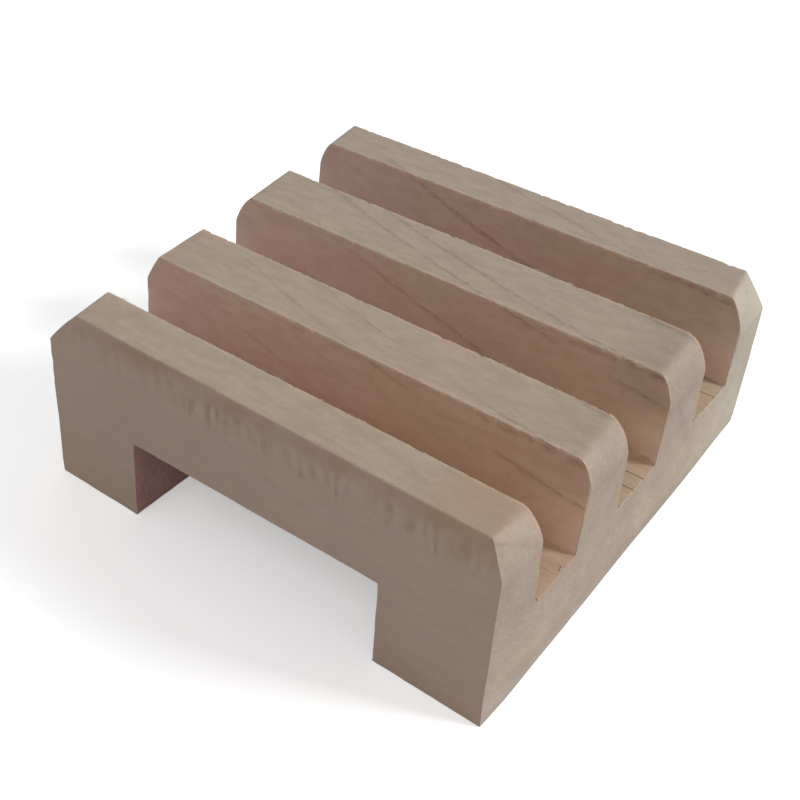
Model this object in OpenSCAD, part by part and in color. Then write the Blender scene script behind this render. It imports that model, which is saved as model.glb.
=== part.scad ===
// A wooden soap dish milled from one block of pale hardwood.
// Three grooves are sawn along the top, right through from end to end, and leave four ribs.
// One wide channel is sawn across underneath and leaves a foot at each end.
// X runs along the ribs, Y across them from front to back, and Z is up.
// The origin is the middle of the footprint, on the surface that the dish stands on.

/* [Block] */
// Length along the ribs, at the back of the block
block_length = 102; // [84:1:160]
// Height from the table to the tops of the ribs
block_height = 40.8; // [38:0.2:60]
// How far the front of the left end is cut back, because the end was sawn out of square
left_skew = 3.4; // [0:0.1:6]
// How far the lower edge of the right end is sanded in
right_undercut = 1.6; // [0.2:0.1:3]
// Height over which the lower edge of the right end is sanded in
right_undercut_h = 7; // [2:0.5:10]
// Width of the sanded flat down the front right corner
corner_flat = 1.5; // [0.2:0.1:3]

/* [Ribs and grooves] */
// Thickness of the front rib at its top
front_rib_t = 9.2; // [7:0.1:12]
// Thickness of the second rib at its top
second_rib_t = 13.2; // [9:0.1:18]
// Thickness of the third rib at its top
third_rib_t = 14.7; // [9:0.1:18]
// Thickness of the back rib at its top
back_rib_t = 10.8; // [7:0.1:14]
// Width of the front groove at its mouth
front_groove_w = 14.3; // [10:0.1:20]
// Width of the middle groove at its mouth
middle_groove_w = 15.4; // [10:0.1:20]
// Width of the back groove at its mouth
back_groove_w = 16; // [10:0.1:20]
// How far each groove wall leans in at the groove floor
wall_lean = 0.8; // [0:0.1:1.5]

/* [Channel and feet] */
// Height of the channel under the block
channel_height = 18.5; // [12:0.1:20]
// Thickness of the wood left between the channel and the groove floors
web_t = 3.5; // [2.5:0.1:8]
// Length of the left foot, measured at the back of the block
left_foot_length = 23.2; // [18:0.2:30]
// Length of the right foot
right_foot_length = 23; // [18:0.2:30]

/* [Eased rib ends] */
// Length of the flat sanded on the left end of the front rib
front_rib_flat_run = 8.2; // [4:0.1:10]
// Height of the flat sanded on the left end of the front rib
front_rib_flat_drop = 8.4; // [4:0.1:10]
// Length of the flat sanded on the left end of the second rib
second_rib_flat_run = 4; // [2:0.1:8]
// Height of the flat sanded on the left end of the second rib
second_rib_flat_drop = 6.2; // [2:0.1:8]
// How far the left end of the second rib is sanded back
second_rib_setback = 2.4; // [0.5:0.1:4]
// Height above the groove floor where the second rib's left end starts to slope back
second_rib_slope_from = 0.8; // [0.4:0.1:2]
// Height over which the second rib's left end slopes back
second_rib_slope_h = 5; // [3:0.5:6]
// Radius of the left end of the third rib
third_rib_left_r = 5.8; // [3:0.1:9]
// Radius of the left end of the back rib
back_rib_left_r = 5.4; // [3:0.1:9]
// Radius of the right end of the front rib
front_rib_right_r = 6; // [3:0.1:9]
// Radius of the right end of the second rib
second_rib_right_r = 5.6; // [3:0.1:9]
// Radius of the right end of the third rib
third_rib_right_r = 5.6; // [3:0.1:9]
// Length of the flat sanded on the right end of the back rib
back_rib_flat_run = 4.8; // [2:0.1:8]
// Height of the flat sanded on the right end of the back rib
back_rib_flat_drop = 6.2; // [2:0.1:8]
// How far the circle of a round end stands out past the flats, which leaves a faint edge there
round_edge = 0.12; // [0.05:0.01:0.4]

/* [Hidden] */
// How far a cut runs past the wood that it removes
overrun = 5;

rib_t = [front_rib_t, second_rib_t, third_rib_t, back_rib_t];
groove_w = [front_groove_w, middle_groove_w, back_groove_w];
last_rib = len(rib_t) - 1;

// Sum of the first n entries of a list
function sum_to(list, n) = n == 0 ? 0 : list[n - 1] + sum_to(list, n - 1);

// Y of the front face of rib i at its top, and of its back face
function rib_front(i) = sum_to(rib_t, i) + sum_to(groove_w, i);
function rib_back(i) = rib_front(i) + rib_t[i];

block_width = rib_back(last_rib);
groove_floor_z = channel_height + web_t;
groove_depth = block_height - groove_floor_z;
// How far the sawn left end turns away from square
skew_angle = atan(left_skew / block_width);

// Stands a flat outline up, so that it runs along X and is seen from the right end
module along_x() {
    translate([-overrun, 0, 0])
        rotate([90, 0, 90])
            linear_extrude(block_length + 2 * overrun) children();
}

// Stands a flat outline up, so that it runs back along Y from y_from to y_to
module along_y(y_from, y_to) {
    translate([0, y_to, 0])
        rotate([90, 0, 0])
            linear_extrude(y_to - y_from) children();
}

// The comb: the block's section across the ribs, with a groove between each two
module comb_outline() {
    difference() {
        square([block_width, block_height]);
        for (i = [0 : last_rib - 1])
            groove_outline(rib_back(i), rib_front(i + 1));
    }
}

// One groove, narrower at its floor than at its mouth; its walls go on past the rib tops
module groove_outline(y_front, y_back) {
    over_lean = wall_lean * overrun / groove_depth;
    polygon([
        [y_front + wall_lean, groove_floor_z],
        [y_back - wall_lean, groove_floor_z],
        [y_back + over_lean, block_height + overrun],
        [y_front - over_lean, block_height + overrun]
    ]);
}

// The bridge: the block's section along the ribs, with the channel cut out between the feet
module bridge_outline() {
    difference() {
        polygon([
            [0, 0],
            [block_length - right_undercut, 0],
            [block_length, right_undercut_h],
            [block_length, block_height],
            [0, block_height]
        ]);
        translate([left_foot_length, -overrun])
            square([block_length - left_foot_length - right_foot_length, channel_height + overrun]);
    }
}

// The footprint: the left end runs out of square and the front right corner is sanded flat
module plan_outline() {
    polygon([
        [left_skew, 0],
        [block_length - corner_flat, 0],
        [block_length, corner_flat],
        [block_length, block_width],
        [0, block_width]
    ]);
}

// Y limits of the cuts that ease rib i: to the middle of the groove on each side of it
function ease_from(i) = i == 0 ? -overrun : rib_front(i) - groove_w[i - 1] / 2;
function ease_to(i) = i == last_rib ? block_width + overrun : rib_back(i) + groove_w[i] / 2;

// Wood that a round end loses: the corner at [0, block_height] outside a circle of radius r
module round_off(r) {
    difference() {
        translate([-overrun, block_height - r])
            square([r + overrun, r + overrun]);
        translate([r, block_height - r])
            circle(r = r + round_edge, $fn = 64);
    }
}

// Wood that a flat takes off the corner at [0, block_height]
module flat_off(run, drop) {
    slope = drop / run;
    polygon([
        [-overrun, block_height - drop - slope * overrun],
        [run + overrun, block_height + slope * overrun],
        [-overrun, block_height + slope * overrun]
    ]);
}

// Wood that is sanded off the left end of the second rib before its flat
module setback_off() {
    slope = second_rib_slope_h / second_rib_setback;
    slope_z = groove_floor_z + second_rib_slope_from;
    polygon([
        [-overrun, slope_z - slope * overrun],
        [second_rib_setback, slope_z + second_rib_slope_h],
        [second_rib_setback, block_height + overrun],
        [-overrun, block_height + overrun]
    ]);
}

// Cuts the left end of rib i with the outline that is given, square to the sawn end
module ease_left(i) {
    translate([left_skew, 0, 0])
        rotate([0, 0, skew_angle])
            along_y(ease_from(i), ease_to(i)) children();
}

// Cuts the right end of rib i with the outline that is given, turned round
module ease_right(i) {
    along_y(ease_from(i), ease_to(i))
        translate([block_length, 0])
            mirror([1, 0]) children();
}

module grooved_block() {
    color("#b49c88")
        translate([-block_length / 2, -block_width / 2, 0])
            difference() {
                intersection() {
                    along_x() comb_outline();
                    along_y(0, block_width) bridge_outline();
                    linear_extrude(block_height) plan_outline();
                }
                ease_left(0) flat_off(front_rib_flat_run, front_rib_flat_drop);
                ease_left(1) setback_off();
                ease_left(1) translate([second_rib_setback, 0])
                    flat_off(second_rib_flat_run, second_rib_flat_drop);
                ease_left(2) round_off(third_rib_left_r);
                ease_left(3) round_off(back_rib_left_r);
                ease_right(0) round_off(front_rib_right_r);
                ease_right(1) round_off(second_rib_right_r);
                ease_right(2) round_off(third_rib_right_r);
                ease_right(3) flat_off(back_rib_flat_run, back_rib_flat_drop);
            }
}

grooved_block();
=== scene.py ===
# %% [markdown]
# # A wooden soap dish
# One block of pale, unfinished hardwood. Three grooves run along the top from end to end and leave
# four ribs, and one wide channel underneath leaves a foot at each end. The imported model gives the
# exact block. This lesson dresses it: the hand-sanded rib ends, the fuzzy saw-cut edges, the grain.

# %% Load the frame
import bpy
import math
import numpy as np
from mathutils import Matrix


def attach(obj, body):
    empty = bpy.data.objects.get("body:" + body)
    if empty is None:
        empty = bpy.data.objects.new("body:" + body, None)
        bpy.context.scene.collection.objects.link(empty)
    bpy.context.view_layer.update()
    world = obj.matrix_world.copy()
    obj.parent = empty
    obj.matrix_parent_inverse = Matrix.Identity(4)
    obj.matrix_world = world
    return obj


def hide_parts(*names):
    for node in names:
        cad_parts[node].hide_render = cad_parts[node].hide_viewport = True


MM = 0.001
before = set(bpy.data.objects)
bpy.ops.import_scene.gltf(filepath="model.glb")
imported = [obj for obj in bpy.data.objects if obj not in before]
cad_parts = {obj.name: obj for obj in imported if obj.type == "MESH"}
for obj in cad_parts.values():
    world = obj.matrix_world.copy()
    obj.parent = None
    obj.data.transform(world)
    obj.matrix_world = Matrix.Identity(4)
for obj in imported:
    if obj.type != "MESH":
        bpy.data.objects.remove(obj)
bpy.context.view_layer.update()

# %% [markdown]
# ## The camera
# The picture was taken from the front right, a hand's breadth above the dish, with the phone turned
# a little. Its place comes from the edges of the block: lines that are parallel on the wood meet at
# points that give the direction and the focal length. The numbers below are that result.

# %% Putting a thing in its place
def facing(turn, rise):
    """Right, up and back of a thing that looks at the middle from a turn from +x towards +y and a rise,
    both in degrees."""
    turn, rise = math.radians(turn), math.radians(rise)
    back = np.array([math.cos(turn) * math.cos(rise), math.sin(turn) * math.cos(rise), math.sin(rise)])
    side = np.cross((0, 0, 1), back)
    side /= np.linalg.norm(side)
    return side, np.cross(back, side), back


def stand(name, data, *columns):
    """Puts a mesh, a camera or a lamp into the scene. The columns of its matrix are its right, up, back
    and place."""
    obj = bpy.data.objects.new(name, data)
    if columns:
        obj.matrix_world = Matrix([[column[i] for column in columns] for i in range(3)] + [[0, 0, 0, 1]])
    bpy.context.scene.collection.objects.link(obj)
    return obj


# %% Camera
IMAGE = 800  # width and height of the picture, in pixels
FOCAL = 1212.1  # focal length, in pixels
CENTRE = (365.5, 381.8)  # pixel that the lens looks straight at
TURN, RISE = -54.906, 37.123  # where the camera is, in degrees
TILT = math.radians(3.177)
EYE = np.array([102.67, -159.46, 161.30]) * MM
SENSOR = 36

level, upright, back = facing(TURN, RISE)
right = math.cos(TILT) * level + math.sin(TILT) * upright
up = math.cos(TILT) * upright - math.sin(TILT) * level
lens = bpy.data.cameras.new("camera")
lens.sensor_width = SENSOR
lens.lens = FOCAL / IMAGE * SENSOR
lens.shift_x = (IMAGE / 2 - CENTRE[0]) / IMAGE
lens.shift_y = (CENTRE[1] - IMAGE / 2) / IMAGE
lens.clip_start = 0.01
bpy.context.scene.camera = stand("camera", lens, right, up, back, EYE)
print("lens", round(lens.lens, 1), "mm, shift", round(lens.shift_x, 3), round(lens.shift_y, 3))

# %% [markdown]
# ## The sizes of the block
# All shapes below are worked out in millimetres, from the front left corner of the plain block: x
# along the ribs, y from front to back, z up. They repeat the CAD's own sizes, and only the last step
# moves them to the frame. `RIB_EDGES` holds the front and the back face of each rib.

# %% Sizes, in millimetres
LENGTH, WIDTH, HEIGHT = 102, 93.6, 40.8
CHANNEL, FLOOR = 18.5, 22  # height of the channel below, and of the groove floors
FOOT_LEFT, FOOT_RIGHT = 23.2, 79
RIB_EDGES = np.array([0, 9.2, 23.5, 36.7, 52.1, 66.8, 82.8, 93.6])
WALL_LEAN = 0.8  # how far each groove wall leans in at the floor
CORNER = 0.9  # room beside each long edge that its rounding may use
ribs = RIB_EDGES.reshape(4, 2)
grooves = RIB_EDGES[1:-1].reshape(3, 2)
print("ribs", (ribs[:, 1] - ribs[:, 0]).round(1), "grooves", (grooves[:, 1] - grooves[:, 0]).round(1))

# %% [markdown]
# ## Unevenness
# Hand work is never quite even. A noise that changes smoothly is enough for all of it: random values
# are set on a coarse lattice, and every point takes a smooth blend of the lattice values around it.
# The same seed always gives the same wood.

# %% Smooth noise
LATTICE = (97, 89)  # cells before the lattice repeats


def smooth(t):
    """Goes from 0 to 1 with t and is level at both: t * t * (3 - 2 * t)."""
    return t * t * (3 - 2 * t)


def noise(x, y, cell_x, cell_y, seed):
    """Random values between -1 and 1 on a lattice of cell_x by cell_y millimetres. A point blends its
    four neighbours smoothly, by how far across the cell it is."""
    lattice = np.random.default_rng(seed).uniform(-1, 1, LATTICE)
    x, y = np.broadcast_arrays(np.asarray(x, float) / cell_x, np.asarray(y, float) / cell_y)
    i, j = np.floor(x).astype(int), np.floor(y).astype(int)
    s, t = smooth(x - i), smooth(y - j)
    at = [[lattice[(i + a) % LATTICE[0], (j + b) % LATTICE[1]] for a in (0, 1)] for b in (0, 1)]
    near, far = (one * (1 - s) + other * s for one, other in at)
    return near * (1 - t) + far * t


wander = noise(np.arange(400), 0, 3, 1, seed=1)
print("noise between", wander.min().round(2), "and", wander.max().round(2))

# %% [markdown]
# ## The section across the ribs
# A profile is carried along the block. It starts low on the front face, climbs over the front rib,
# goes down into the first groove, and so on to the back face. Each point remembers the zone that it
# belongs to, so that sanded tops, sawn walls and groove floors can each get their own finish.
# Around each long edge five points wait on a quarter circle, whose radius is chosen later. The saw
# left fine kerf lines on the groove floors, and a nick at the foot of each rib's back wall. Each gets
# its own few points.

# %% The profile
TOP, WALL, BOTTOM, FRONT, END, CUT, BACK, REAR_WALL = range(8)  # rear walls face the back
TOP_STEPS, WALL_STEPS, FLOOR_STEPS, ARC_STEPS = 10, 15, 10, 4
WEB_ROW = 20.1  # height of one more row between the channel and the floors
KERFS = [(0, 16.9, 0.10), (1, 43.2, 0.30), (1, 47, 0.38), (2, 77.3, 0.34),  # groove, y, depth
         (0, 10.5, 0.45), (1, 38, 0.30), (2, 68.1, 0.35)]
KERF, BED, BESIDE = 0.16, 0.07, 0.42  # half a kerf's width above and in its bed, and a point beside it
points, parts = [], {}  # the profile, and where each named run of points lies in it


def run(name, ys, zs, zone, edge=-1, arcs=0):
    """Adds a run of points to the profile and keeps its place in the list under a name."""
    ys, zs, arcs = np.broadcast_arrays(ys, zs, arcs)
    parts[name] = np.arange(len(points), len(points) + ys.size)
    points.extend([y, z, zone, edge, a] for y, z, a in zip(ys.ravel(), zs.ravel(), arcs.ravel()))


quarter = np.linspace(0, 1, ARC_STEPS + 1)
climb = np.linspace(FLOOR, HEIGHT - CORNER, WALL_STEPS)
lean = WALL_LEAN * (HEIGHT - climb) / (HEIGHT - FLOOR)
run("front low", 0, np.array([CHANNEL, WEB_ROW]), FRONT)
for i, (y0, y1) in enumerate(ribs):
    run(f"rise {i}", y0 - lean * (i > 0), climb, WALL if i else FRONT)
    run(f"front arc {i}", y0, HEIGHT, TOP, 2 * i, quarter)
    run(f"top {i}", np.linspace(y0 + CORNER, y1 - CORNER, TOP_STEPS), HEIGHT, TOP)
    run(f"back arc {i}", y1, HEIGHT, TOP, 2 * i + 1, quarter)
    run(f"fall {i}", (y1 + lean * (i < 3))[::-1], climb[::-1], REAR_WALL if i < 3 else BACK)
    if i < 3:
        lo, hi = y1 + WALL_LEAN, ribs[i + 1, 0] - WALL_LEAN
        ys = [lo + 0.25, lo + 0.6, *np.linspace(lo + 1.2, hi - 1.2, FLOOR_STEPS), hi - 0.6, hi - 0.25]
        for groove, at, _ in KERFS:
            if groove == i:
                ys = [v for v in ys if abs(v - at) > 0.5]
                ys += [at + d for d in (-BESIDE, -KERF, -BED, BED, KERF, BESIDE)]
        run(f"floor {i}", np.array(sorted(ys)), FLOOR, BOTTOM)
run("back low", WIDTH, np.array([WEB_ROW, CHANNEL]), BACK)
py, pz, pzone, pedge, parc = np.array(points).T
print("points in the profile:", len(points))

# %% [markdown]
# ## The long edges
# A saw leaves a long edge nearly sharp, but soft fibres crumble from it here and there. So the
# radius of each edge changes along its length: a little everywhere, and more where a splinter has
# come away. Where the wood was chipped in the picture, this one is chipped too.

# %% Radius of each long edge
EDGE_WEAR = np.array([0.3, 0.17, 0.22, 0.17, 0.24, 0.17, 0.2, 0.17])  # base radius, from the front
CRUMBLED = np.array([0.2, 0.4, 0.7, 0.9, 0.7, 0.9, 0.7, 0.9])  # how much each edge crumbled
CHIPS = [  # edge, place along it, length, depth
    (5, 26, 2.2, 0.5), (4, 14, 3, 0.45), (4, 19.5, 2.4, 0.6), (4, 82, 2, 0.5),
    (4, 91, 2.6, 0.55), (4, 94.6, 2.2, 0.5), (4, 88, 1.6, 0.4), (2, 88.2, 2.2, 0.45),
    (2, 91.6, 2.4, 0.55), (2, 95.2, 2.6, 0.5), (2, 84, 1.5, 0.35), (5, 75, 1.2, 0.35),
    (3, 46, 1.8, 0.4), (1, 60, 1.2, 0.3), (0, 30, 2, 0.3), (6, 70, 2.4, 0.35),
    (7, 40, 1.6, 0.4), (6, 30, 1.4, 0.3), (3, 97, 1.3, 0.35), (0, 66, 1.2, 0.3)]


def edge_radius(x, edge):
    """Radius of an edge: a base, plus smooth wander of two lengths, plus crumbs where a fine noise
    peaks, plus one bump, (1 - d * d) squared, at each chip, where d is the distance over half its length."""
    edge = np.asarray(edge, float)
    number = edge.astype(int)
    radius = EDGE_WEAR[number] + 0.05 * noise(x, edge * 7, 9, 1, seed=3)
    radius = radius + 0.05 * noise(x, edge * 5, 1.7, 1, seed=4)
    radius = radius + CRUMBLED[number] * np.clip(noise(x, edge * 3, 0.9, 1, seed=5) - 0.4, 0, 1)
    for at_edge, at, length, depth in CHIPS:
        d = np.clip(np.abs(x - at) / (length / 2), 0, 1)
        radius = radius + depth * (edge == at_edge) * (1 - d * d) ** 2
    return np.clip(radius, 0.06, CORNER - 0.1)


radii = edge_radius(np.linspace(0, LENGTH, 500), 4)
print("edge radius from", radii.min().round(2), "to", radii.max().round(2), "mm")


# %% The section at any place
def section_at(x):
    """y and z of all profile points at each place x along the block: the arc points swing from the
    wall to the top on a circle of the edge's radius, and the kerf points sink into the floors."""
    x = x[:, None]
    radius = edge_radius(x, pedge[None, :])
    swing, front = parc * math.pi / 2, pedge % 2 == 0
    by_cos, by_sin = radius * (1 - np.cos(swing)), radius * (1 - np.sin(swing))
    y = np.where(pedge < 0, py, np.where(front, py + by_cos, py - by_sin))
    z = np.where(pedge < 0, pz, np.where(front, pz - by_sin, pz - by_cos))
    for _, at, depth in KERFS:
        notch = np.clip((KERF - np.abs(py - at)) / (KERF - BED), 0, 1) * (pzone == BOTTOM)
        z = z - notch * depth * (0.75 + 0.25 * noise(x, at, 4, 1, seed=6))
    return y, z


# %% [markdown]
# ## The eased rib ends
# Someone held each rib end to a sander, and no two came out alike. Some are flats, some are round,
# and most are something between. One curve covers them all: along the rib it starts flat and then
# falls away, and its power says how round it is, 1 for a straight flat and 2 for an ellipse. Each
# end has one curve for its front edge and one for its back edge, blended between them.

# %% The shapes of the ends: length, fall and power, at the front edge and at the back edge
LEFT_EASE = np.array([[(8.3, 8.7, 1.08), (7.4, 8.4, 1.08)], [(3.8, 6.4, 1.08), (3.5, 6.2, 1.12)],
                      [(4.8, 7.9, 1.4), (3.3, 7.4, 1.5)], [(3.4, 7, 1.5), (1.7, 6.2, 1.5)]])
RIGHT_EASE = np.array([[(0.7, 1.2, 1.5), (4.4, 6.2, 1.58)], [(2.9, 5.6, 1.6), (4.6, 6.7, 1.66)],
                       [(3, 6.5, 1.5), (4.6, 7.3, 1.64)], [(3.6, 7.8, 1.4), (5, 6.4, 1.03)]])


def fall(a, ease, across):
    """Fall of a rib's top at distance a from its end: drop * (1 - (1 - t ** p) ** (1 / p)), where t goes
    from 1 at the end to 0 where the easing stops. Length, drop and power p go evenly from those of the
    front edge to those of the back edge."""
    length, drop, power = (front * (1 - across) + back * across for front, back in zip(*ease))
    t = np.clip(1 - a / length, 0, 1)
    return drop * (1 - (1 - t ** power) ** (1 / power))


print("the front rib's left end falls", fall(0, LEFT_EASE[0], 0), "mm at its front edge")

# %% How far the ends stand in
LEFT_SKEW, LEFT_LEAN = 3.1, 0.6  # the left end's slant towards the front, and its lean
SET_BACK = [0, 2.6, 0.95, 0]  # how far each rib's left end stands back from the sawn end
RIGHT_UNDERCUT = 1.6  # how far the right end is sanded in at the table
ROUND, FACET, FACET_FALL = 1.35, 3.5, 0.31  # the front right corner


def end_shift(y, z, rib):
    """How far the left and the right end stand in from the block's box, at height z and depth y. The
    front right corner is the larger of a soft round and a flat facet, whose depth falls evenly
    with y and with the distance from the top."""
    near = np.clip(1 - y / WIDTH, 0, 1)
    left = LEFT_SKEW * near ** 1.4 + LEFT_LEAN * near * np.clip((z - 14) / 16, -0.8, 1)
    above = smooth(np.clip((z - FLOOR - 0.3) / 5, 0, 1))
    for i, amount in enumerate(SET_BACK):
        left = left + amount * (rib == i) * above
    left = left + 0.10 * (1 + noise(y, z, 11, 8, seed=7))
    low = np.clip(1 - z / (6.4 + 0.6 * near), 0, 1)
    under = RIGHT_UNDERCUT * low * (1.17 - 0.58 * near + 0.2 * np.clip(1 - near / 0.12, 0, 1))
    corner = np.clip(1 - y / RIB_EDGES[1], 0, 1)
    facet = FACET * corner - FACET_FALL * (HEIGHT - z)
    right = (under - low * corner ** 1.5 + np.maximum(ROUND * corner ** 1.5, facet)
             + 0.07 * (1 + noise(y, z, 9, 7, seed=8)))
    return left, right


print("at the table the ends stand in by", np.round(end_shift(0, 0, -1), 2), "mm")

# %% [markdown]
# ## From the plain block to the worn one
# Every point of the surface is first named by its place on a plain, square block. One function then
# moves it to where it is on the real one: in from the slanted ends, down with the eased ribs, in at
# the worn upright edges. Because the function only asks for the plain place, two patches that share
# a border on the plain block still share it afterwards.

# %% The worn upright edges
UPRIGHT_LEFT = [0.4, 0.4, 0.4, 0.4, 0.5, 0.4, 0.4, 0.4]  # wear of the ribs' upright end edges
UPRIGHT_RIGHT = [0.3, 0.4, 0.8, 0.35, 0.5, 0.35, 0.8, 0.4]


def worn_edge(a, width):
    """Depth of a rounded edge at distance a from the end: width - sqrt(width ** 2 - (width - a) ** 2)."""
    t = np.clip(width - a, 0, width)
    return width - np.sqrt(np.maximum(width ** 2 - t ** 2, 0))


def upright_wear(y, z, a_left, a_right):
    """Shift along y near the ends. Each rib face gives way by its worn edge, and between two faces the
    shift goes evenly from the one to the other. Below the floors only front and back count."""
    wear = []
    for k in range(8):
        # the front right corner is a wide round above and sharp at the table
        grow = 0.25 + 0.75 * np.clip((z - FLOOR) / 18, 0, 1) if k else np.clip((z - 4) / 18, 0.15, 1)
        rough = 1 + 0.35 * noise(z, k * 9, 3.5, 1, seed=10)
        at_left, at_right = UPRIGHT_LEFT[k] * rough, UPRIGHT_RIGHT[k] * grow * rough
        wear.append((-1 if k % 2 else 1) * (worn_edge(a_left, at_left) + worn_edge(a_right, at_right)))
    wear = np.array(wear)
    k = np.clip(np.searchsorted(RIB_EDGES, y, side="right") - 1, 0, 6)
    share = np.clip((y - RIB_EDGES[k]) / (RIB_EDGES[k + 1] - RIB_EDGES[k]), 0, 1)
    one, other = (np.take_along_axis(wear, n[None], 0)[0] for n in (k, k + 1))
    across = np.clip(y / WIDTH, 0, 1)
    below = wear[0] * (1 - across) + wear[7] * across
    return np.where(z < FLOOR - 0.6, below, one * (1 - share) + other * share)


# %% The feet and the channel
BITE = 0.06  # how far the edges of feet and channel are worn


def foot_wear(x, y, z):
    """Shift along x, y and z under the ribs. The channel was sawn a little aslant, and the left foot's
    inner face leans in at its top. Edges of feet and channel are bitten by a noise."""
    hat = np.clip(np.minimum(z / CHANNEL, (FLOOR - z) / (FLOOR - CHANNEL)), 0, 1)
    along = np.clip((x - FOOT_LEFT) / (FOOT_RIGHT - FOOT_LEFT), 0, 1)
    face = 1 * (y == 0) - (y == WIDTH)
    end = 1 * (x == 0) - (x == LENGTH)
    inner = (z <= CHANNEL) * (1 * (x == FOOT_RIGHT) - (x == FOOT_LEFT))
    sole = z == 0
    ceiling = (z == CHANNEL) & (x >= FOOT_LEFT) & (x <= FOOT_RIGHT)
    bite = BITE * (1 + 0.6 * noise(x + z * 3, y, 2.1, 2.3, seed=11))
    along_x = 0.7 * hat * np.clip(1 - np.abs(x - FOOT_LEFT) / 8, 0, 1)
    along_x = along_x + bite * (inner * ((face != 0) | sole) * (z < CHANNEL) + sole * end)
    along_y = bite * face * (sole | ((inner != 0) & (z < CHANNEL)) | ceiling)
    along_z = (0.8 * along - 0.55) * hat
    along_z = along_z + bite * ((sole & ((face != 0) | (inner != 0) | (end != 0))) | (ceiling & (face != 0)))
    return along_x, along_y, along_z


# %% Worn place of a plain point
REACH = 16  # how far in from an end its slant is felt
NO_END = 99  # stands for an end too far away to matter
NEAR = 1e-6  # heights closer than this are the same height


def place(x, y, z, rib):
    """Worn position of plain points x, y, z on rib number rib, or -1 where they are on no rib."""
    x, y, z, rib = np.broadcast_arrays(*(np.asarray(v, float) for v in (x, y, z, rib)))
    left, right = end_shift(y, z, rib)
    from_left, from_right = x, LENGTH - x
    a_left = np.where(from_left < REACH, from_left * (1 - left / REACH), NO_END)
    a_right = np.where(from_right < REACH, from_right * (1 - right / REACH), NO_END)
    new_x = x + left * np.clip(1 - from_left / REACH, 0, 1) - right * np.clip(1 - from_right / REACH, 0, 1)

    new_z = z.copy()
    for i, (y0, y1) in enumerate(ribs):
        across = np.clip((y - y0) / (y1 - y0), 0, 1)
        down = fall(a_left, LEFT_EASE[i], across) + fall(a_right, RIGHT_EASE[i], across)
        down = down + 0.05 * (1 + noise(x, y + 40 * i, 24, 9, seed=9))
        share = 1 - down / (HEIGHT - FLOOR)
        new_z = np.where((rib == i) & (z > FLOOR + NEAR), FLOOR + (z - FLOOR) * share, new_z)

    # the floors' sawn ends are a little worn
    on_floor = (z > FLOOR - 1) & (z < FLOOR + NEAR) & (rib < 0)
    new_z = new_z - worn_edge(np.minimum(a_left, a_right), 0.25) * on_floor
    new_y = y + upright_wear(y, z, a_left, a_right)
    shift = foot_wear(x, y, z)
    return np.stack([new_x + shift[0], new_y + shift[1], new_z + shift[2]], -1)


print("front left corner goes to", place(0, 0, HEIGHT, 0).round(2))

# %% [markdown]
# ## The stations along the ribs
# The profile is carried through stations along x. They crowd together where the ends are eased and
# spread out between. The feet's inner faces fall exactly on a station.

# %% Stations
STEP, CLOSE = 0.42, 0.3  # the usual step, and the last one before a foot's inner face
crowd = np.array([0, 0.03, 0.09, 0.18, 0.3, 0.45, 0.65, 0.9, 1.2, 1.55, 1.95,
                  *np.arange(24, 45, 5) / 10, *np.arange(50, 117, 6) / 10])
inside = [np.linspace(crowd[-1], FOOT_LEFT - CLOSE, 29)[1:], [FOOT_LEFT],
          np.linspace(FOOT_LEFT + CLOSE, FOOT_RIGHT - CLOSE, int((FOOT_RIGHT - FOOT_LEFT) / STEP)),
          [FOOT_RIGHT], np.linspace(FOOT_RIGHT + CLOSE, LENGTH - crowd[-1], 29)[:-1]]
stations = np.concatenate([crowd, *inside, LENGTH - crowd[::-1]])
first, last = np.searchsorted(stations, [FOOT_LEFT, FOOT_RIGHT])
foot_rows = np.array([0, 0.35, 1.2, 2.6, 4.2, 6, 7.8, 9.6, 11.4, 13.2, 14.9, 16.5, CHANNEL])
columns = np.concatenate([[0, 0.3], np.linspace(2.2, WIDTH - 2.2, 39), [WIDTH - 0.3, WIDTH]])
print(len(stations), "stations of", len(points), "points")

# %% [markdown]
# ## Patches
# The surface is made of patches: the comb that the profile sweeps out, the channel's ceiling, the
# faces of the feet, and the two end faces. A patch is a grid of points, so its faces come from one
# formula. The end faces need blends: inside a four-sided patch a point is the average of what its
# two pairs of borders say, less what the four corners say twice.

# %% Patch helpers
patches = []  # positions, faces, their zones, and wear of the points


def grid(position, zones, turned=False, wear=0):
    """Faces of a grid of points, one per cell. Turned cells run the other way round."""
    n, m = position.shape[:2]
    index = np.arange(n * m).reshape(n, m)
    cells = np.stack([index[:-1, :-1], index[1:, :-1], index[1:, 1:], index[:-1, 1:]], -1)
    if turned:
        cells = cells[..., ::-1]
    zones = np.broadcast_to(zones, cells.shape[:2]).ravel()
    wear = np.broadcast_to(wear, (n, m)).ravel()
    patches.append((position.reshape(-1, 3), cells.reshape(-1, 4), zones, wear))


def shares(line):
    """How far along a line each of its points is, from 0 to 1."""
    so_far = np.linalg.norm(np.diff(line, axis=0), axis=1).cumsum()
    return np.concatenate([[0], so_far / so_far[-1]])


def blend(bottom, top, left, right):
    """Coons patch in y and z: rows go from the bottom border to the top border. The share of a column is
    its place along the top border, and the share of a row is its height along the left border."""
    u, v = shares(top)[None, :, None], shares(left)[:, None, None]
    ruled = (1 - v) * bottom[None] + v * top[None] + (1 - u) * left[:, None] + u * right[:, None]
    return ruled - ((1 - u) * (1 - v) * bottom[0] + u * (1 - v) * bottom[-1]
                    + (1 - u) * v * top[0] + u * v * top[-1])


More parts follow.
